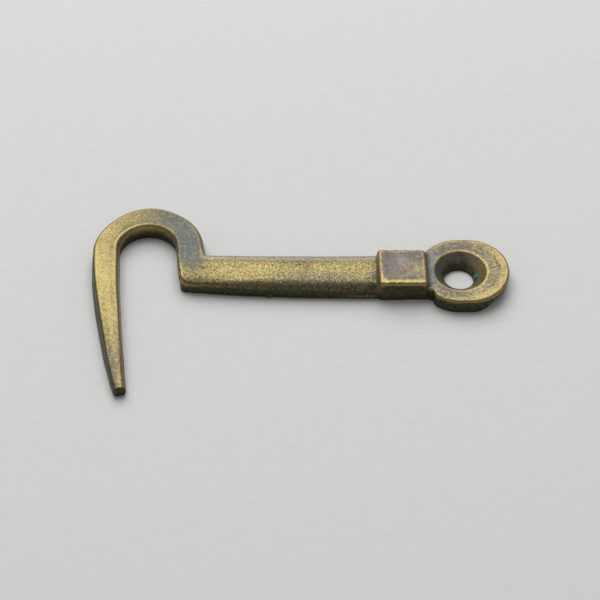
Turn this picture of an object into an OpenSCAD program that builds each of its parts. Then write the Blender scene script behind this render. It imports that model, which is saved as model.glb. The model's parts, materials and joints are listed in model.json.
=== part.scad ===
// Cast cabin hook arm, one solid casting in millimetres: an eye with a countersunk pivot hole, a
// square boss, a round-topped shank and a hook that ends in a long tine.
// +Z is up, and the origin is on the pivot hole's axis, at the flat back. The shank runs along -X
// and the tine points along -Y.

/* [Eye] */
// Diameter of the pivot hole
hole_d = 5.4; // [4:0.1:7]
// Diameter of the countersink at the eye's face
countersink_d = 9.4; // [8:0.1:12]
// Full angle of the countersink
countersink_angle = 90; // [82:1:120]
// Width of the eye, across the arm
eye_w = 15.5; // [14:0.1:20]
// Length that the oval eye has beyond a round one
eye_stretch = 1.6; // [0.2:0.1:4]
// How far the eye's middle lies off the pivot axis, away from the tine
eye_shift = 0.1; // [0:0.05:0.6]
// Thickness of the eye
eye_t = 3.1; // [2.4:0.1:4.2]
// Rounding of the eye's rim
eye_round = 0.4; // [0.2:0.1:0.8]
// Flat back left between the pivot hole and the relief under the eye's free end
heel_flat = 1.9; // [1:0.1:3]
// How far that relief rises at the eye's end
heel_rise = 1.3; // [0.3:0.1:1.5]

/* [Boss] */
// Metal left between the countersink and the boss
boss_gap = 1.4; // [0.3:0.1:4]
// Length of the boss, along the arm
boss_l = 8.7; // [5:0.1:16]
// Width of the boss, across the arm
boss_w = 8.4; // [7.5:0.1:12]
// Thickness of the boss
boss_t = 4.5; // [3.8:0.1:6]
// Bevel on the boss's top edges
boss_bevel = 0.4; // [0.1:0.05:1]

/* [Shank] */
// How far the arm's middle lies off the pivot axis, towards the tine
arm_shift = 0.3; // [0:0.05:0.6]
// Distance from the pivot axis to the wall of the hook's throat
reach = 51.5; // [38:0.1:90]
// Width of the shank where it leaves the boss
shank_w = 8.1; // [6.4:0.1:9]
// Width of the shank where it meets the hook
shank_end_w = 6.8; // [5:0.1:8]
// Thickness of the shank
shank_t = 3.8; // [3:0.1:4.4]
// Rounding of the shank's top edges
shank_round = 1.9; // [0.5:0.1:2.2]

/* [Hook] */
// Width of the throat, across the bend
throat_w = 10.5; // [7:0.1:16]
// Width of the leg that rises from the shank
leg_w = 5.1; // [4:0.1:6.5]
// Length of the leg, from the shank to the bend
leg_l = 3.1; // [1:0.1:12]
// Lean of the leg towards the throat
leg_lean = 9; // [0:0.5:16]
// Width of the metal at the shoulder, where the bend starts
shoulder_w = 5.1; // [3.6:0.1:6]
// Width of the metal at the end of the bend
band_w = 5.1; // [3.6:0.1:6]
// Thickness of the hook
hook_t = 3.6; // [3:0.1:4.4]
// Length of the tine, from the end of the bend to its tip
tine_l = 32.9; // [16:0.1:44]
// Lean of the tine towards the shank where it leaves the bend
tine_lean = 3; // [0:0.5:8]
// Angle that the tine turns in through, along its length
tine_turn = 9.5; // [4:0.5:20]
// Width of the tine's tip
tip_w = 2.4; // [1.8:0.1:3.2]
// Thickness of the tine's tip
tip_t = 2.3; // [1.6:0.1:3]
// Draft on the outer side of the hook, from its foot to its top
draft = 0.4; // [0:0.05:0.5]
// Rounding of the hook's top edges
hook_round = 0.6; // [0.2:0.05:1]

/* [Hidden] */

$fn = 96;
BRASS = [0.55, 0.46, 0.25];
OVERCUT = 1;                    // how far each cutter runs past the face that it leaves
foot_round = 0.25;              // rounding along the edges of the flat back
arc_steps = 4;                  // facets in each rounded corner of a section
shank_power = 2.5;              // how late the shank's near side sweeps in towards the hook
taper_power = 2.2;              // how late the tine narrows towards its tip
corner_power = 7;               // squareness of the outer corner between shank and leg
corner_r = 0.5;                 // radius of the inner corner between shank and leg
corner_rise = 0.7;              // how far the near side goes on rising round the outer corner
tip_round = 0.35;               // rounding of the tine's end

hole_r = hole_d / 2;
countersink_r = countersink_d / 2;
countersink_depth = (countersink_r - hole_r) / tan(countersink_angle / 2);

boss_x1 = -countersink_r - boss_gap;            // the boss's face towards the eye
boss_x0 = boss_x1 - boss_l;                     // the boss's face towards the shank
shank_x1 = boss_x0 + boss_l / 2;                // the shank's end inside the boss
far_side = shank_w / 2 - arm_shift;             // the shank's straight side

// The point that the corner between shank and leg turns about, just outside the inner corner.
pivot = [-reach + (leg_w + corner_r) * cos(leg_lean), far_side + corner_r];

bend_r = (throat_w + band_w) / 2;               // radius of the bend's centre line
bend_turn = 180 - leg_lean + tine_lean;
bend_l = bend_r * bend_turn * PI / 180;
tine_r = tine_l * 180 / (PI * tine_turn);       // radius of the tine's gentle curve
hook_l = leg_l + bend_l + tine_l;

function direction(a) = [cos(a), sin(a)];

leg_foot = pivot + (corner_r + leg_w / 2) * direction(180 + leg_lean);
leg_head = leg_foot + leg_l * direction(90 + leg_lean);
bend_centre = leg_head + bend_r * direction(180 + leg_lean);
tine_centre = bend_centre + (tine_r - bend_r) * direction(tine_lean);

// Angles that the centre line has turned through, at a distance s from the leg's foot.
function bend_angle(s) = (s - leg_l) / bend_r * 180 / PI;
function tine_angle(s) = (s - leg_l - bend_l) / tine_r * 180 / PI;

// Centre line of the hook at a distance s: up the leg, round the bend and down the tine.
function centre(s) =
    s < leg_l ? leg_foot + s * direction(90 + leg_lean)
    : s < leg_l + bend_l ? bend_centre + bend_r * direction(leg_lean + bend_angle(s))
    : tine_centre + tine_r * direction(180 + tine_lean + tine_angle(s));

// Direction of the centre line at a distance s, as an angle from +X.
function heading(s) =
    s < leg_l ? 90 + leg_lean
    : s < leg_l + bend_l ? 90 + leg_lean + bend_angle(s)
    : 270 + tine_lean + tine_angle(s);

// Share of the bend and of the tine that lies behind a distance s, each from 0 to 1.
function bend_share(s) = (s - leg_l) / bend_l;
function tine_share(s) = max(0, (s - leg_l - bend_l) / tine_l);

// Width and thickness of the hook's section at a distance s.
function hook_width(s) =
    s < leg_l ? leg_w + (shoulder_w - leg_w) * s / leg_l
    : s < leg_l + bend_l ? shoulder_w + (band_w - shoulder_w) * bend_share(s)
    : band_w + (tip_w - band_w) * pow(tine_share(s), taper_power);
function hook_height(s) = hook_t + (tip_t - hook_t) * pow(tine_share(s), taper_power);

// Quarter circle of points round [x, z], from angle a to a + 90.
function quarter(x, z, r, a) =
    [for (i = [0:arc_steps]) [x, z] + r * direction(a + 90 * i / arc_steps)];

// Upright section of width w and height t. Its right side draws in at the top, and its edges are
// rounded.
function section(w, t, inset, r_top, r_foot) = concat(
    quarter(w / 2 - r_foot, r_foot, r_foot, -90),
    quarter(w / 2 - inset - r_top, t - r_top, r_top, 0),
    quarter(-w / 2 + r_top, t - r_top, r_top, 90),
    quarter(-w / 2 + r_foot, r_foot, r_foot, 180));

// The section stood up between two points of the plan, from its left side to its right side.
function ring(left, right, t, inset, r_top, r_foot, lift = 0) =
    let (w = norm(right - left), middle = (left + right) / 2, across = (right - left) / w)
    [for (p = section(w, t, inset, r_top, r_foot))
        [middle.x + p.x * across.x, middle.y + p.x * across.y, p.y + lift]];

// How far a rounded end has drawn in, at a distance d before it stops.
function end_inset(d, r) = d >= r ? 0 : r - sqrt(max(0, r * r - (r - d) * (r - d)));

// Left side of the shank, seen along the arm towards the hook: it sweeps in before the corner.
function near_side(x) =
    let (share = max(0, min(1, (boss_x0 - x) / (boss_x0 - pivot.x))))
    far_side - shank_w + (shank_w - shank_end_w) * pow(share, shank_power);

// A ring of the shank at x, square to the arm.
function shank_ring(x) =
    ring([x, near_side(x)], [x, far_side], shank_t, 0,
         min(shank_round, shank_t - foot_round - 0.1), foot_round);

// A ring of the corner, at a share of the turn from the shank to the leg.
function corner_ring(share) =
    let (a = 270 - (90 - leg_lean) * share,
         down = shank_end_w + corner_r + corner_rise * cos(a),
         out = reach + pivot.x,
         r = pow(pow(-cos(a) / out, corner_power) + pow(-sin(a) / down, corner_power), -1 / corner_power),
         near_shank = (1 + cos(180 * share)) / 2)
    ring(pivot + r * direction(a), pivot + corner_r * direction(a),
         hook_t + (shank_t - hook_t) * near_shank, draft * (1 - near_shank),
         hook_round + (shank_round - hook_round) * near_shank, foot_round);

// A ring of the hook at a distance s, square to its centre line.
function hook_ring(s) =
    let (inset = end_inset(hook_l - s, tip_round),
         w = hook_width(s) - 2 * inset,
         t = hook_height(s) - 2 * inset,
         sharp = draft * (1 - tine_share(s)),
         r_top = min(max(hook_round, tine_share(s) * tip_w / 2), t / 2 - 0.02, w / 2 - sharp - 0.02),
         r_foot = min(max(foot_round, tine_share(s) * tip_w / 2), t / 2 - 0.02, w / 2 - 0.02),
         right = w / 2 * direction(heading(s) - 90))
    ring(centre(s) - right, centre(s) + right, t, sharp, r_top, r_foot, inset);

// Closed solid through a list of rings that all have the same number of points.
module skin(rings) {
    n = len(rings[0]);
    last = len(rings) - 1;
    polyhedron(
        points = [for (ring = rings) each ring],
        faces = concat(
            [[for (i = [n - 1:-1:0]) i]],
            [for (k = [0:last - 1], i = [0:n - 1])
                each [[k * n + i, (k + 1) * n + (i + 1) % n, (k + 1) * n + i],
                      [k * n + i, k * n + (i + 1) % n, (k + 1) * n + (i + 1) % n]]],
            [[for (i = [0:n - 1]) last * n + i]]));
}

// Shank, leg, bend and tine, as one bar that runs from inside the boss to the tip.
module bar() {
    skin(concat(
        [for (i = [0:12]) shank_ring(shank_x1 + (pivot.x - shank_x1) * i / 12)],
        [for (i = [1:19]) corner_ring(i / 20)],
        [for (i = [0:2]) hook_ring(leg_l * i / 3)],
        [for (i = [0:27]) hook_ring(leg_l + bend_l * i / 28)],
        [for (i = [0:17]) hook_ring(leg_l + bend_l + (tine_l - tip_round) * i / 18)],
        [for (i = [0:4]) hook_ring(hook_l - tip_round * (1 - sin(90 * i / 4)))]));
}

// Rectangle of width w and height t, with its two top corners bevelled.
module bevelled(w, t, bevel) {
    polygon([[-w / 2, 0], [w / 2, 0], [w / 2, t - bevel], [w / 2 - bevel, t],
             [-w / 2 + bevel, t], [-w / 2, t - bevel]]);
}

// Square boss between the shank and the eye, with a foot that runs on into the eye.
module boss() {
    foot_end = -hole_r - 1;             // clear of the hole, and under the countersink's rim
    foot_w = boss_w - 2 * boss_bevel;
    translate([(boss_x0 + boss_x1) / 2, -arm_shift, 0])
        intersection() {
            rotate([90, 0, 0])
                linear_extrude(boss_w, center = true) bevelled(boss_l, boss_t, boss_bevel);
            rotate([90, 0, 90])
                linear_extrude(boss_l, center = true) bevelled(boss_w, boss_t, boss_bevel);
        }
    translate([boss_x1 - boss_l / 2, -arm_shift - foot_w / 2, 0])
        cube([foot_end - boss_x1 + boss_l / 2, foot_w, eye_t - eye_round]);
}

// Half of the eye's section: a flat plate whose rim is rounded at the top.
module rim_section() {
    r = eye_w / 2;
    square([r - eye_round, eye_t]);
    translate([0, foot_round]) square([r, eye_t - eye_round - foot_round]);
    square([r - foot_round, eye_t / 2]);
    translate([r - eye_round, eye_t - eye_round]) circle(eye_round);
    translate([r - foot_round, foot_round]) circle(foot_round);
}

// Oval eye: two round ends with a straight length between them.
module eye_plate() {
    for (x = [0, eye_stretch])
        translate([x, eye_shift, 0]) rotate_extrude() rim_section();
    translate([0, eye_shift, 0])
        rotate([90, 0, 90])
            linear_extrude(eye_stretch)
                for (side = [0, 1]) mirror([side, 0]) rim_section();
}

// Relief under the eye's free end, as the cutter that makes it: a plane that rises to the end.
module heel_cutter() {
    heel_x = hole_r + heel_flat;
    run = eye_w / 2 + eye_stretch - heel_x;
    width = eye_w + 2 * OVERCUT;
    translate([heel_x, eye_shift - width / 2, 0])
        rotate([0, -atan(heel_rise / run), 0])
            translate([0, 0, -run]) cube([2 * run, width, run]);
}

// Pivot hole with its countersink, as the cutter that makes them.
module pivot_cutter() {
    translate([0, 0, -OVERCUT]) cylinder(r = hole_r, h = eye_t + 2 * OVERCUT);
    slope = (countersink_r - hole_r) / countersink_depth;
    translate([0, 0, eye_t - countersink_depth])
        cylinder(r1 = hole_r, r2 = countersink_r + OVERCUT * slope, h = countersink_depth + OVERCUT);
}

// The whole casting.
module hook_arm() {
    color(BRASS)
        union() {
            difference() {
                union() {
                    eye_plate();
                    boss();
                }
                pivot_cutter();
                heel_cutter();
            }
            bar();
        }
}

hook_arm();
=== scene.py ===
import json

import bpy
import numpy as np
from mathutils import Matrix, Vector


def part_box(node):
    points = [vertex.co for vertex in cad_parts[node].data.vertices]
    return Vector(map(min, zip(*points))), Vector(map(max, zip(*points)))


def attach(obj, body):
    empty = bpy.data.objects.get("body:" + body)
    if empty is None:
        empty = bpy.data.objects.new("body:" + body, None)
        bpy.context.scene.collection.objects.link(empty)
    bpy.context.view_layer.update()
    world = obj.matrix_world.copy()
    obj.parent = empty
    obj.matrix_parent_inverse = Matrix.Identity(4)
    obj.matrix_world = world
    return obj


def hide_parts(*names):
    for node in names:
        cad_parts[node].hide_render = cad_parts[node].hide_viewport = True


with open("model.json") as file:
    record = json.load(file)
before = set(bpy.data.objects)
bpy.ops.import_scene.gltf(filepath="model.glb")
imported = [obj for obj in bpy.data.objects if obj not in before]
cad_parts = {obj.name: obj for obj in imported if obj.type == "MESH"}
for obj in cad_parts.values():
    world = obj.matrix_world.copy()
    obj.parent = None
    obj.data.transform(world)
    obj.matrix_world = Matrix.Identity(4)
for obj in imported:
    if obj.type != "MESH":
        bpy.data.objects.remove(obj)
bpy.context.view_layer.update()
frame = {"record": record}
scene = bpy.context.scene

# ---------------------------------------------------------------------------------------------
# Bench paper, light and camera
# The arm lies on a sheet of off-white paper under a broad, soft light from above and behind. The
# camera looks down on it from in front with a long lens.
# ---------------------------------------------------------------------------------------------

LOOK_AT = np.array([-0.0291, -0.0045, 0.0])
CAMERA_TILT = 48.0                      # degrees above the bench
CAMERA_DISTANCE = 0.401
CAMERA_LENS = 132.0                     # millimetres, on a sensor SENSOR_WIDTH wide
SENSOR_WIDTH = 36.0
LIGHT_AT = (-0.10, 0.435, 0.65)         # above and behind the arm, a little to its left
LIGHT_SIZE = 0.80
LIGHT_POWER = 5.85                      # watts
ROOM_LIGHT = 0.30                       # strength of the even light from all round


def linear(hex_colour):
    """Linear RGBA of an sRGB hex colour such as "#c8b070"."""
    value = np.array([int(hex_colour[i:i + 2], 16) for i in (1, 3, 5)]) / 255
    return (*np.where(value <= 0.04045, value / 12.92, ((value + 0.055) / 1.055) ** 2.4), 1.0)


def add_node(tree, kind, links=None, **settings):
    """Adds a node; settings name its properties or input sockets, and links join sockets to them."""
    node = tree.nodes.new(kind)
    for name, value in settings.items():
        key = name.replace("_", " ").title()
        if hasattr(node, name):
            setattr(node, name, value)
        else:
            node.inputs[key].default_value = value
    for key, socket in (links or {}).items():
        tree.links.new(socket, node.inputs[key])
    return node


def new_material(name):
    """An empty node material, with its tree and its shader."""
    material = bpy.data.materials.new(name)
    material.use_nodes = True
    tree = material.node_tree
    tree.nodes.clear()
    shader = add_node(tree, "ShaderNodeBsdfPrincipled")
    add_node(tree, "ShaderNodeOutputMaterial", {"Surface": shader.outputs["BSDF"]})
    return material, tree, shader


def bench_paper():
    """Matt off-white paper: fine fibres a few tenths of a millimetre wide, laid across the view."""
    material, tree, shader = new_material("uncoated_paper")
    place = add_node(tree, "ShaderNodeTexCoord")
    along = add_node(tree, "ShaderNodeMapping", {"Vector": place.outputs["Object"]},
                     scale=(350, 800, 800))
    fibres = add_node(tree, "ShaderNodeTexNoise", {"Vector": along.outputs["Vector"]},
                      scale=1.0, detail=3.0)
    tone = add_node(tree, "ShaderNodeMix", {"Factor": fibres.outputs["Fac"]}, data_type="RGBA")
    tone.inputs[6].default_value = linear("#dcdcda")
    tone.inputs[7].default_value = linear("#e4e4e2")
    tree.links.new(tone.outputs[2], shader.inputs["Base Color"])
    shader.inputs["Roughness"].default_value = 0.85
    return material


def bench_sheet(width=1.6, depth=1.6):
    """A flat sheet of width times depth, centred under the arm at height 0."""
    x, y = np.meshgrid([-width / 2, width / 2], [-depth / 2, depth / 2], indexing="ij")
    points = np.stack([x.ravel(), y.ravel(), np.zeros(4)], axis=1)
    mesh = bpy.data.meshes.new("bench_paper")
    mesh.from_pydata(points.tolist(), [], [(0, 2, 3, 1)])
    mesh.materials.append(bench_paper())
    sheet = bpy.data.objects.new("bench_paper", mesh)
    scene.collection.objects.link(sheet)
    return sheet


def area_light(name, position, aim, size, power):
    """A white, square soft light of side size at position, facing aim."""
    data = bpy.data.lights.new(name, "AREA")
    data.shape = "SQUARE"
    data.size = size
    data.energy = power
    light = bpy.data.objects.new(name, data)
    light.location = position
    toward = np.array(aim) - np.array(position)
    pitch = np.arctan2(np.hypot(toward[0], toward[1]), -toward[2])
    light.rotation_euler = (pitch, 0, np.arctan2(toward[1], toward[0]) - np.pi / 2)
    scene.collection.objects.link(light)


bench_sheet()
area_light("softbox", LIGHT_AT, LOOK_AT, LIGHT_SIZE, LIGHT_POWER)
world = bpy.data.worlds.new("studio")
world.use_nodes = True
world.node_tree.nodes["Background"].inputs["Color"].default_value = linear("#f4f6f8")
world.node_tree.nodes["Background"].inputs["Strength"].default_value = ROOM_LIGHT
scene.world = world
scene.view_settings.view_transform = "Standard"

tilt = np.radians(CAMERA_TILT)
camera_data = bpy.data.cameras.new("camera")
camera_data.lens = CAMERA_LENS
camera_data.sensor_width = SENSOR_WIDTH
camera_data.clip_start = 0.01
camera = bpy.data.objects.new("camera", camera_data)
camera.location = LOOK_AT + CAMERA_DISTANCE * np.array([0, -np.cos(tilt), np.sin(tilt)])
camera.rotation_euler = (np.pi / 2 - tilt, 0, 0)
scene.collection.objects.link(camera)
scene.camera = camera

# ---------------------------------------------------------------------------------------------
# Hook arm
# One sand-cast brass piece: an oval eye with a countersunk hole, a square boss, a round-topped
# shank, and a hook that bends back into a long tapering tine. It is dipped in a dark patina, and
# handling has rubbed the edges and the high places back to yellow brass.
# ---------------------------------------------------------------------------------------------

MM = 0.001
low, high = (np.array(corner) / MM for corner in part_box("hook_arm"))
pivot = next(mount for mount in frame["record"]["mounts"] if mount["name"] == "pivot_hole")
HOLE_R = pivot["dims"]["r_mm"]
HOLE_LENGTH = pivot["dims"]["length_mm"]

# Sizes in millimetres and angles in degrees; T is a thickness, R a radius and L a length.
BOSS_T = high[2]
EYE_T = 3.1
EYE_R = 7.6
END_GAP = 0.05                          # from the skin's free end to the end of the solid
EYE_STRETCH = high[0] - END_GAP - EYE_R
EYE_SHIFT = 0.3
BOSS_X0, BOSS_X1 = -14.8, -6.0
BOSS_NEAR, BOSS_FAR = -4.6, 4.0
SHANK_T = 3.8
SHANK_END = -51.5
SHANK_FAR = 3.65                        # y of its far side
HOOK_T = 3.6
TIP_T = 2.3
TAPER_POWER = 1.9                       # how late the tine thins towards its tip
LEG_LEAN = 9.0
LEG_L = 3.1
BEND_R = 7.8
BAND_W = 5.1
TINE_L = 32.9
TINE_LEAN = 2.8
TINE_TURN = 9.3

BEND_L = BEND_R * np.radians(180 - LEG_LEAN + TINE_LEAN)
HOOK_L = LEG_L + BEND_L + TINE_L
TINE_R = TINE_L / np.radians(TINE_TURN)


def unit(angle):
    """Unit vector of the plan at an angle in degrees from +X."""
    return np.array([np.cos(np.radians(angle)), np.sin(np.radians(angle))])


bend_centre = np.array([low[0], high[1]]) + (BEND_R + BAND_W / 2) * np.array([1, -1])
leg_head = bend_centre + BEND_R * unit(LEG_LEAN)
tine_head = bend_centre + BEND_R * unit(180 + TINE_LEAN)
tine_centre = tine_head + TINE_R * unit(TINE_LEAN)


def step(value, start, end):
    """0 before start and 1 after end, with a smooth rise between them; start may be the larger."""
    share = np.clip((value - start) / (end - start), 0, 1)
    return share * share * (3 - 2 * share)


def glide(s, stations, values, reach=1.0):
    """Values between stations: straight lines whose corners are averaged away over the reach."""
    return sum(np.interp(s + shift, stations, values)
               for shift in np.linspace(-reach, reach, 5)) / 5


def rounded(a, b, r):
    """Distance to the solid that two walls share, at distances a and b, its edge rounded to r."""
    return (np.minimum(np.maximum(a, b) + r, 0)
            + np.hypot(np.maximum(a + r, 0), np.maximum(b + r, 0)) - r)


def joined(a, b, r):
    """Smooth minimum of two distances: the union, with a fillet of about r where they meet."""
    near = np.maximum(r - np.abs(a - b), 0) / r
    return np.minimum(a, b) - near * near * r / 4


LATTICE_N = 32                          # numbers along each side of the noise lattice
lattice = np.random.default_rng(7).random((LATTICE_N, LATTICE_N, LATTICE_N))


def noise(x, y, z, size):
    """Smooth random value from -1 to 1: a lattice of random numbers, size apart, blended between."""
    place = [np.asarray(c) / size + 100 for c in (x, y, z)]
    cell = [np.floor(c).astype(int) for c in place]
    share = [c - k for c, k in zip(place, cell)]
    share = [c * c * (3 - 2 * c) for c in share]
    total = 0
    for i in (0, 1):
        for j in (0, 1):
            for k in (0, 1):
                weight = 1
                for bit, c in zip((i, j, k), share):
                    weight = weight * (c if bit else 1 - c)
                total = total + weight * lattice[(cell[0] + i) % LATTICE_N,
                                                 (cell[1] + j) % LATTICE_N,
                                                 (cell[2] + k) % LATTICE_N]
    return 2 * total - 1


def along_hook(x, y):
    """Distance s along the hook's centre line and offset n to its outer side, at a plan point."""
    leg_s = (x - leg_head[0]) * unit(90 + LEG_LEAN)[0] + (y - leg_head[1]) * unit(90 + LEG_LEAN)[1]
    leg_n = (x - leg_head[0]) * unit(LEG_LEAN)[0] + (y - leg_head[1]) * unit(LEG_LEAN)[1]
    angle = np.degrees(np.arctan2(y - bend_centre[1], x - bend_centre[0])) - LEG_LEAN
    angle = np.mod(angle + 90, 360) - 90
    bend_n = np.hypot(x - bend_centre[0], y - bend_centre[1]) - BEND_R
    turned = np.arctan2(-(y - tine_centre[1]), -(x - tine_centre[0])) - np.radians(TINE_LEAN)
    tine_n = np.hypot(x - tine_centre[0], y - tine_centre[1]) - TINE_R
    on_tine = (turned > 0) & (x < bend_centre[0])
    on_leg = (leg_s < 0) & ~on_tine
    s = np.where(on_tine, LEG_L + BEND_L + turned * TINE_R,
                 np.where(on_leg, LEG_L + leg_s, LEG_L + np.radians(angle) * BEND_R))
    n = np.where(on_tine, tine_n, np.where(on_leg, leg_n, bend_n))
    return s, n


def near_side(x):
    """Y of the shank's near side, which sweeps in towards the hook."""
    return -4.35 + 1.15 * np.clip((BOSS_X0 - x) / (BOSS_X0 + 46), 0, 1.2) ** 2.5


def bar_field(x, y, z):
    """Distance to shank and hook: their plan outlines joined, raised to a top with round edges."""
    s, n = along_hook(x, y)
    tine = np.clip((s - LEG_L - BEND_L) / TINE_L, 0, 1)
    taper = tine ** TAPER_POWER
    low_tine = step(tine, 0.02, 0.3)
    half = glide(s, [0, 4, 10, 16, 22, 27, 40, 52, 59.5],
                 [2.6, 2.5, 2.5, 2.5, 2.5, 2.5, 2.35, 1.85, 1.25])
    top = HOOK_T + (TIP_T - HOOK_T) * taper
    draft = 0.3 + 0.5 * low_tine * (1 - step(tine, 0.6, 1.0))
    bulged = (0.15 * step(s, 11, 6) - 0.5 * np.exp(-((s - 21) / 4.5) ** 2)
              + 0.28 * np.exp(-((s - 34) / 6) ** 2))
    outer = n - half - bulged + draft * z / top
    inner = -n - half + 0.12 * low_tine * z / top
    hook = np.maximum(np.maximum(outer, inner), -3.0 - s)

    lean = 0.09 * (SHANK_FAR - y)
    shank = rounded(rounded(near_side(x) - y, SHANK_END - x + lean, 0.7 + 0.3 * z), y - SHANK_FAR, 0.3)
    shank = np.maximum(shank, x - (BOSS_X0 + BOSS_X1) / 2)
    plan = joined(shank, hook, 0.9)

    flat = step(y, 4.6, 0.5) * step(x, -53, -49)
    across = (y - near_side(x)) / (SHANK_FAR - near_side(x))
    to_hook = step(x, -33, -48)
    shank_top = SHANK_T - (0.4 + 0.6 * to_hook) * np.clip(1 - across / 0.75, 0, 1.2) ** 1.3
    shank_top = shank_top - 0.4 * np.clip(across - 0.6, 0, 0.5) / 0.4
    domed = 0.16 * (n / 2.4) ** 2 * low_tine + 0.1 * np.exp(-((n + 1.3) / 0.45) ** 2) * step(s, 15, 20)
    top = top - domed + (shank_top - top + domed) * flat
    side = step(n, -0.6, 0.6)
    edge = 0.55 - 0.3 * low_tine * side * (1 - tine ** 4) + 0.35 * tine ** 4
    edge = edge + 0.35 * step(s, 13, 9) * side + 0.45 * step(s, 18, 25) * (1 - side) * (1 - tine)
    edge = edge + (1.7 - 1.15 * to_hook - edge) * flat
    foot = 0.2 + 0.3 * low_tine + 0.5 * tine ** 6
    section = rounded(plan, z - top, np.minimum(edge, top / 2))
    return rounded(rounded(section, -z, foot), s - HOOK_L, 0.3)


def boss_field(x, y, z):
    """Distance to the boss: a rectangle with round corners, raised to a slightly dished top."""
    centre_x, half_x = (BOSS_X0 + BOSS_X1) / 2, (BOSS_X1 - BOSS_X0) / 2
    centre_y, half_y = (BOSS_NEAR + BOSS_FAR) / 2, (BOSS_FAR - BOSS_NEAR) / 2
    side_x = np.abs(x - centre_x + 0.03 * (y - centre_y)) - half_x
    side_y = np.abs(y - centre_y) - half_y
    dish = 0.16 * step(np.maximum(side_x, side_y), -0.5, -2.2)
    plan = rounded(side_x, side_y, 0.6)
    return rounded(plan, z - BOSS_T + dish, 0.55)


def eye_field(x, y, z):
    """Distance to the eye: points within its radius of a short straight line, raised to its top."""
    along = np.clip(x, 0, EYE_STRETCH)
    off = (y - EYE_SHIFT) * (1 - 0.045 * step(y, 1, -5))
    plan = np.hypot(x - along, off) - EYE_R
    plan = rounded(plan, -5.0 - x - 6 * step(y, -4.9, -3.2), 0.9)
    return rounded(plan + 0.12 * (z / EYE_T - 0.3), z - EYE_T, 0.4)


def hole_field(x, y, z):
    """Distance to the pivot hole: a cylinder, with a 90 degree cone from its upper end."""
    r = np.hypot(x, y)
    cone = (np.hypot(x * 0.97 - 0.2, y * 0.97) - HOLE_R - (z - HOLE_LENGTH)) / np.sqrt(2)
    return joined(r - HOLE_R, cone, 0.25)


def casting_field(x, y, z):
    """Distance to the whole casting: bar, boss and eye joined with fillets, less the pivot hole.

    The back's edge is rounded more under the eye's free end, and a small nib stands on the shank.
    """
    bar_and_boss = joined(bar_field(x, y, z), boss_field(x, y, z), 0.8)
    body = joined(bar_and_boss, eye_field(x, y, z), 0.2 + 1.2 * step(y, -4.8, -3.4))
    nib = np.sqrt((x + 34.8) ** 2 + (y + 3.95) ** 2 + (z - 0.4) ** 2) - 0.35
    body = joined(body, nib, 0.3)
    body = rounded(body, -z, 0.4 + 2.0 * step(x, 3.0, 7.0))
    return rounded(body, -hole_field(x, y, z), 0.15)


def surface_net(field, start, end, pitch):
    """Vertices and quads of the surface where the field is 0, one vertex in each cell it crosses.

    A vertex is the mean of the points where the field changes sign along its cell's edges, and a
    quad joins the four cells round each grid edge where it does.
    """
    axes = [np.arange(a, b + pitch, pitch) for a, b in zip(start, end)]
    value = field(axes[0][:, None, None], axes[1][None, :, None], axes[2][None, None, :])
    inside = value < 0
    shape = np.array(value.shape)
    total = np.zeros((*(shape - 1), 3))
    count = np.zeros(shape - 1)
    crossings = []
    for axis in range(3):
        one = tuple(slice(0, -1) if i == axis else slice(None) for i in range(3))
        two = tuple(slice(1, None) if i == axis else slice(None) for i in range(3))
        cut = np.argwhere(inside[one] != inside[two])
        a = value[one][tuple(cut.T)]
        b = value[two][tuple(cut.T)]
        point = cut.astype(float)
        point[:, axis] += a / (a - b)
        crossings.append((axis, cut, inside[one][tuple(cut.T)]))
        others = [i for i in range(3) if i != axis]
        for shift in ((0, 0), (0, 1), (1, 0), (1, 1)):
            cell = cut.copy()
            cell[:, others[0]] -= shift[0]
            cell[:, others[1]] -= shift[1]
            fits = ((cell >= 0) & (cell < shape - 1)).all(axis=1)
            np.add.at(total, tuple(cell[fits].T), point[fits])
            np.add.at(count, tuple(cell[fits].T), 1)
    used = count > 0
    number = np.full(shape - 1, -1)
    number[used] = np.arange(used.sum())
    points = start + pitch * total[used] / count[used][:, None]
    quads = []
    for axis, cut, leaving in crossings:
        u, v = (axis + 1) % 3, (axis + 2) % 3
        corners = []
        for shift in ((0, 0), (1, 0), (1, 1), (0, 1)):
            cell = cut.copy()
            cell[:, u] -= shift[0]
            cell[:, v] -= shift[1]
            corners.append(number[tuple(cell.T)])
        quad = np.stack(corners, axis=1)
        quads.append(np.where(leaving[:, None], quad, quad[:, ::-1]))
    return points, np.concatenate(quads)


def slope(field, points, reach=0.02):
    """Unit vectors that point out of the field's surface, from its change over a short reach."""
    change = []
    for axis in range(3):
        shift = np.zeros(3)
        shift[axis] = reach
        change.append(field(*(points + shift).T) - field(*(points - shift).T))
    change = np.stack(change, axis=1)
    return change / np.linalg.norm(change, axis=1, keepdims=True)


PITCH = 0.21                            # size of a cell of the surface net
MARGIN = 0.6                            # room left round the solid for the skin
points, quads = surface_net(casting_field, low - MARGIN, high + MARGIN, PITCH)
for _ in range(3):
    outward = slope(casting_field, points)
    points -= outward * np.clip(casting_field(*points.T), -0.1, 0.1)[:, None]
outward = slope(casting_field, points)


def averaged(values, passes):
    """Each vertex's values averaged with those of the vertices round it, a number of times."""
    ends = np.concatenate([quads[:, [i, (i + 1) % 4]] for i in range(4)])
    ends = np.concatenate([ends, ends[:, ::-1]])
    count = np.bincount(ends[:, 0], minlength=len(points))
    for _ in range(passes):
        values = np.stack([np.bincount(ends[:, 0], v[ends[:, 1]], len(points)) / count
                           for v in values.T], axis=1)
    return values


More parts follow.
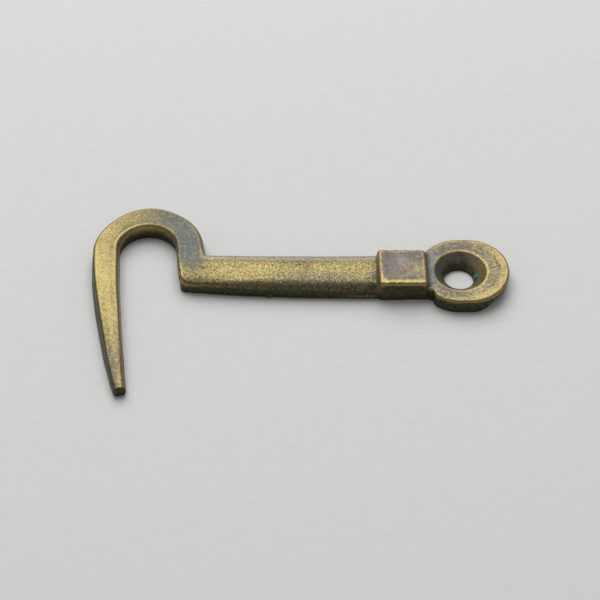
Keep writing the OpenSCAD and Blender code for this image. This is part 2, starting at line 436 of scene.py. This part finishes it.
# Marks of casting and handling, cut into the surface: an uneven skin, a flash line on the
# shank's near side by the boss, chips on the boss's edges, and two small dents in the eye's top.
x, y, z = points.T
up = outward[:, 2]
bulge = ((points - averaged(points, 12)) * outward).sum(axis=1) / 0.12
relief = 0.05 * noise(x, y, z, 5.0) + 0.035 * noise(x, y, z, 1.9) + 0.015 * noise(x, y, z, 0.7)
flash = (np.exp(-((z - 0.95) / 0.16) ** 2) + np.exp(-((z - 0.35) / 0.16) ** 2)) * step(x, -24, -19)
flash = flash * step(x, -14.6, -15.4) * step(y, -3.0, -3.8)
share = np.clip((3.2 - y) / 2.4, 0, 1)
dent = np.exp(-(((x - 6.7 - share) / 0.2) ** 2 + ((y - 3.2 + 2.4 * share) / 0.3) ** 2))
dent = dent * step(z, 2.4, 2.9)
chips = 0.09 * noise(x, y, z, 0.5) * np.clip(bulge, 0, 1) * step(x, -15.5, -15) * step(x, -5, -5.5)
dent = dent + np.exp(-((x + 2.8) / 0.4) ** 2 - ((y + 6.4) / 0.25) ** 2) * step(z, 2.4, 2.9)
moved = (relief + chips + 0.08 * flash - 0.1 * dent) * step(z, 0.0, 0.6)
points = points + outward * moved[:, None]

mesh = bpy.data.meshes.new("hook_arm_skin")
mesh.from_pydata((points * MM).tolist(), [], quads.tolist())
mesh.polygons.foreach_set("use_smooth", np.ones(len(quads), bool))
mesh.update()
casting = bpy.data.objects.new("hook_arm_skin", mesh)
scene.collection.objects.link(casting)


def blob(at_x, at_y, half_x, half_y):
    """1 at a plan point, falling smoothly to 0 outside an ellipse of the given half sizes."""
    return np.exp(-((x - at_x) / half_x) ** 2 - ((y - at_y) / half_y) ** 2)


# Where the arm has been rubbed bright, with a painted highlight in the countersink: 0 is whole
# patina and 1 is bare brass.
s, n = along_hook(x, y)
cloud = noise(x, y, z, 3.2)
fine = noise(x, y, z, 1.1)
on_eye = step(x, -6.4, -5.6)
on_boss = step(x, -15.2, -14.6) * (1 - on_eye)
on_hook = step(x, -45.6, -47.6) * step(np.maximum(y - 1.4, -56 - x) + 0.5 * fine, -2.0, 2.0)
on_shank = 1 - np.maximum(np.maximum(on_eye, on_boss), on_hook)
tine = np.clip((s - LEG_L - BEND_L) / TINE_L, 0, 1)

# Hook: dull at the leg and brighter along the tine, with a dull groove beside the bend's inner edge.
hook_rub = glide(s, [0, 5, 9, 13, 17, 22, 27, 45, 60],
                 [0.12, 0.0, 0.1, 0.32, 0.5, 0.62, 0.78, 0.76, 0.42])
groove = np.exp(-((n + 1.35) / 0.4) ** 2) * step(s, 14, 20) * step(tine, 0.55, 0.35)
hook_rub = (hook_rub + 0.45 * np.exp(-((n - 1.9) / 0.25) ** 2) * step(s, 13, 9) - 0.1 * groove
            - 0.3 * step(n, -0.4, 0.6) * step(tine, 0.4, 0.8))

# Shank: brightest along the middle of its top, with duller patches, and dull at the far edge
# so that the painted grey reflection there shows.
across = (y - near_side(x)) / (SHANK_FAR - near_side(x))
shank_rub = np.interp(across, [0, 0.1, 0.2, 0.42, 0.68, 0.8, 1.0],
                      [0.15, 0.42, 0.68, 0.75, 0.72, 0.42, 0.25])
shank_rub = shank_rub - 0.22 * step(x, -36, -47) * step(across, 0.35, 0.1)
shank_rub = (shank_rub - 0.35 * blob(-25.5, -2.4, 7.5, 1.8) - 0.2 * blob(-29, 1.8, 4.5, 1.6)
             - 0.6 * blob(-15.4, -2.6, 1.2, 1.8) + 0.9 * blob(-15.6, -3.0, 0.3, 0.3)
             - 0.06 * blob(-45, 0.2, 7, 1.8) - 0.6 * blob(-48.6, 1.4, 2.2, 2.0)
             - 0.05 * blob(-20, 1, 3, 3))

# Boss: dull in the middle of its top and bright round its edges.
side_x = np.abs(x - (BOSS_X0 + BOSS_X1) / 2 + 0.03 * y) - (BOSS_X1 - BOSS_X0) / 2
boss_rub = (0.08 + 0.1 * cloud + 0.65 * step(y, -3.2, -3.9) + 0.25 * step(y, 3.0, 3.6)
            + 0.35 * step(side_x, -1.0, -0.3) + 0.5 * blob(-14.2, -3.6, 0.8, 1.4)
            + 0.25 * blob(-7.6, -0.6, 1.0, 1.8) - 0.3 * blob(-10.5, 1.1, 1.6, 1.2)
            + 0.06 * fine)

# Eye: bright on its outer rim and round the countersink, dull beside the boss.
eye_rub = 0.18 + 0.025 * x + 0.25 * step(np.hypot(x - 0.8, y - 0.3), 6.2, 7.2)
eye_rub = (eye_rub + 0.4 * np.exp(-((np.hypot(x - 0.2, y) - 4.95) / 0.25) ** 2)
           - 0.5 * step(x, -3.8, -5.6) + 0.25 * blob(4, -5, 4, 2.4) + 0.15 * blob(6, 1, 3, 4))
place_rub = on_hook * hook_rub + on_shank * shank_rub + on_boss * boss_rub + on_eye * eye_rub

# Side walls keep their patina, apart from lips along their upper edges on the hook and eye.
wall = step(up, 0.5, 0.05)
outer_wall = step(up, 0.95, 0.75) * step(tine, 0.0, 0.06) * step(n, 0.4, 0.9) * on_hook
wall = np.maximum(wall, outer_wall)
lip = step(z, 1.2, 3.0) * step(x, -42, -49) * 0.85 + step(z, 1.8, 3.0) * on_eye * 0.3
lip_start = 2.9 - 1.4 * step(s, 17, 24)
arch_lip = step(z, lip_start, 3.4) * step(n, 0, -1) * step(s, 11, 18) * step(tine, 0.8, 0.2)
lip = lip + 0.85 * arch_lip * on_hook
rub_and_highlight = place_rub + 0.1 * cloud + 0.05 * fine - 0.4 * dent * (0.6 + fine)
edge_rub = 0.6 - 0.35 * step(tine, 0, 0.1) * on_hook - 0.5 * on_shank * step(x, -44, -36)
rub_and_highlight = (rub_and_highlight * (1 - wall) + (lip + 0.6 * flash) * wall
       + edge_rub * np.clip(bulge - 0.25, 0, 1) * step(z, 1.2, 2.2))
rub_and_highlight = (rub_and_highlight - 0.35 * np.clip(-bulge - 0.2, 0, 1)) * (1 - 0.95 * outer_wall)
# The countersink: dull patina with a verdigris speck, and a painted highlight on its lit right side, brighter
# higher up.
in_cone = (np.hypot(x, y) < 4.75) & (z < 3.0) & (up > 0.2)
cone_wear_and_highlight = (-0.4 * blob(3.1, 0.4, 0.5, 0.6) + 0.12 + 0.05 * x
            + 0.36 * step(x, 0.5, 4) * step(z, 1.4, 2.4) + 0.15 * fine)
rub_and_highlight = np.where(in_cone, cone_wear_and_highlight, rub_and_highlight)
at_end = step(s, HOOK_L - 0.35, HOOK_L - 0.1) * on_hook
rub_and_highlight = rub_and_highlight * (1 - at_end)

# Colour of the patina: olive brown, turning blue grey, mauve or nearly black from place to place.
# Painted light goes in too: a pale grey painted reflection along the shank's rounded far side,
# painted shade low on the side walls by the bench, and in the countersink a painted highlight on
# its right side and painted shade down towards the bore.
cool = on_hook * glide(s, [0, 8, 12, 20], [1.0, 1.0, 0.5, 0.0]) + on_eye * blob(-5.6, 0, 1.4, 6)
# Blue grey patches on the shank, and a painted reflection: its rounded far side tinted grey.
shank_blue_grey_and_far_sheen = (step(across, 0.74, 0.86) + 0.7 * blob(-25, -2.2, 8, 1.6)
              + 0.9 * blob(-48.6, 1.4, 2.2, 2.0))
cool = np.clip(cool + on_shank * shank_blue_grey_and_far_sheen, 0, 1)
warm = np.clip(on_boss + 0.8 * on_eye + 0.7 * step(tine, 0.5, 0.9), 0, 1) * (1 - cool)
dark = np.clip(wall + at_end + 0.8 * dent + 0.35 * np.clip(-bulge - 0.1, 0, 1) * (1 - on_eye), 0, 1)
verdigris = 0.9 * blob(3.1, 0.4, 0.35, 0.45) * in_cone
cone = in_cone * step(z, 3.1, 2.7)
# Pale tint: a pale patch of patina on the boss, and a painted reflection in pale grey along the shank's
# rounded far side.
light = (0.85 * blob(-10.5, 1.1, 1.4, 1.1) * (0.75 + 0.35 * fine) * on_boss
         + 0.9 * on_shank * step(across, 0.72, 0.88))
neck = 1.3 * blob(-5.2, 0, 1.2, 7) * on_eye * step(z, 2.6, 3.0) * (0.65 + 0.25 * fine)
tint = np.array(linear("#4a4334"))[:3] * np.ones((len(x), 1))
for share, colour in ((cool, "#5e635e"), (warm, "#6c6461"), (light, "#9a978f"), (neck, "#8c8d88"),
                      # Then dark patina, painted shade low on the side walls by the bench, and the hook's
                      # outer wall.
                      (dark, "#332d11"), (wall * step(z, 1.8, 0.6), "#25220d"), (outer_wall, "#45463a"),
                      # In the countersink: a painted highlight on its right side, and painted shade down
                      # towards the bore.
                      (cone, "#5a5850"), (cone * step(x, 1.0, 3.0), "#77746a"),
                      (cone * step(z, 2.1, 1.3), "#24241c"), (verdigris, "#58ab99")):
    tint = tint + (np.array(linear(colour))[:3] - tint) * share[:, None]

mesh.attributes.new("rub_and_highlight", "FLOAT", "POINT").data.foreach_set("value", rub_and_highlight.astype(np.float32))
colours = np.concatenate([tint, np.ones((len(x), 1))], axis=1)
# Depth of the fine pitting: the shank is rough as cast, and the hook is worn smooth.
grit = 2.1 * on_shank + on_hook * glide(s, [0, 8, 20, 45, 60], [0.6, 0.8, 1.0, 1.0, 1.8])
grit = (grit + 1.1 * on_boss + 1.5 * on_eye) * (1 - 0.5 * wall)
mesh.attributes.new("grit", "FLOAT", "POINT").data.foreach_set("value", grit.astype(np.float32))
patina_layer = mesh.attributes.new("patina", "FLOAT_COLOR", "POINT")
patina_layer.data.foreach_set("color", colours.ravel().astype(np.float32))


def aged_brass():
    """Cast brass under a brown patina: bare metal shows where it is rubbed, and where a painted
    highlight lies in the countersink, in specks at the limit.
    """
    material, tree, shader = new_material("aged_brass")
    place = add_node(tree, "ShaderNodeTexCoord").outputs["Object"]
    rubbed_and_highlight = add_node(tree, "ShaderNodeAttribute", attribute_name="rub_and_highlight").outputs["Fac"]
    patina = add_node(tree, "ShaderNodeAttribute", attribute_name="patina").outputs["Color"]
    grain = add_node(tree, "ShaderNodeTexNoise", {"Vector": place},
                     scale=4400.0, detail=2.0, roughness=0.6)
    mottle = add_node(tree, "ShaderNodeTexNoise", {"Vector": place}, scale=1700.0, detail=3.0)
    depth = add_node(tree, "ShaderNodeAttribute", attribute_name="grit").outputs["Fac"]
    centred = add_node(tree, "ShaderNodeMath", {0: grain.outputs["Fac"]}, operation="SUBTRACT")
    pits = add_node(tree, "ShaderNodeMath", {0: centred.outputs[0], 1: depth}, operation="MULTIPLY")
    cloudy = add_node(tree, "ShaderNodeMath", {0: mottle.outputs["Fac"], 2: rubbed_and_highlight}, operation="MULTIPLY_ADD")
    cloudy.inputs[1].default_value = 0.8
    speckled = add_node(tree, "ShaderNodeMath", {0: cloudy.outputs[0], 1: pits.outputs[0]}, operation="ADD")
    bare = add_node(tree, "ShaderNodeMapRange", {"Value": speckled.outputs[0]},
                    interpolation_type="SMOOTHSTEP")
    bare.inputs["From Min"].default_value = 0.25
    bare.inputs["From Max"].default_value = 1.5
    shade = add_node(tree, "ShaderNodeMath", {0: pits.outputs[0]}, operation="MULTIPLY_ADD", use_clamp=True)
    shade.inputs[1].default_value = 0.55
    shade.inputs[2].default_value = 0.5
    brass = add_node(tree, "ShaderNodeMix", {"Factor": shade.outputs[0]}, data_type="RGBA")
    brass.inputs[6].default_value = linear("#5d5128")
    brass.inputs[7].default_value = linear("#c4b27a")
    stain = add_node(tree, "ShaderNodeMapRange", {"Value": shade.outputs[0]})
    stain.inputs["To Min"].default_value = 0.4
    stain.inputs["To Max"].default_value = 1.6
    stained = add_node(tree, "ShaderNodeMix", data_type="RGBA", blend_type="MULTIPLY")
    stained.inputs[0].default_value = 1.0
    tree.links.new(patina, stained.inputs[6])
    tree.links.new(stain.outputs["Result"], stained.inputs[7])
    cloud = add_node(tree, "ShaderNodeMapRange", {"Value": mottle.outputs["Fac"]}, from_min=0.3, from_max=0.7)
    cloud.inputs["To Min"].default_value = 0.8
    cloud.inputs["To Max"].default_value = 1.2
    clouded = add_node(tree, "ShaderNodeMix", {6: stained.outputs[2], 7: cloud.outputs["Result"]},
                       data_type="RGBA", blend_type="MULTIPLY")
    clouded.inputs[0].default_value = 1.0
    colour = add_node(tree, "ShaderNodeMix", {"Factor": bare.outputs["Result"]}, data_type="RGBA")
    tree.links.new(clouded.outputs[2], colour.inputs[6])
    tree.links.new(brass.outputs[2], colour.inputs[7])
    tree.links.new(colour.outputs[2], shader.inputs["Base Color"])
    metal = add_node(tree, "ShaderNodeMapRange", {"Value": bare.outputs["Result"]})
    metal.inputs["To Min"].default_value = 0.45
    metal.inputs["To Max"].default_value = 1.0
    tree.links.new(metal.outputs["Result"], shader.inputs["Metallic"])
    matt = add_node(tree, "ShaderNodeMapRange", {"Value": bare.outputs["Result"]})
    matt.inputs["To Min"].default_value = 0.55
    matt.inputs["To Max"].default_value = 0.42
    tree.links.new(matt.outputs["Result"], shader.inputs["Roughness"])
    bump = add_node(tree, "ShaderNodeBump", {"Height": pits.outputs[0]}, strength=0.8, distance=0.00004)
    tree.links.new(bump.outputs["Normal"], shader.inputs["Normal"])
    return material


mesh.materials.append(aged_brass())
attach(casting, "root")
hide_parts("hook_arm")
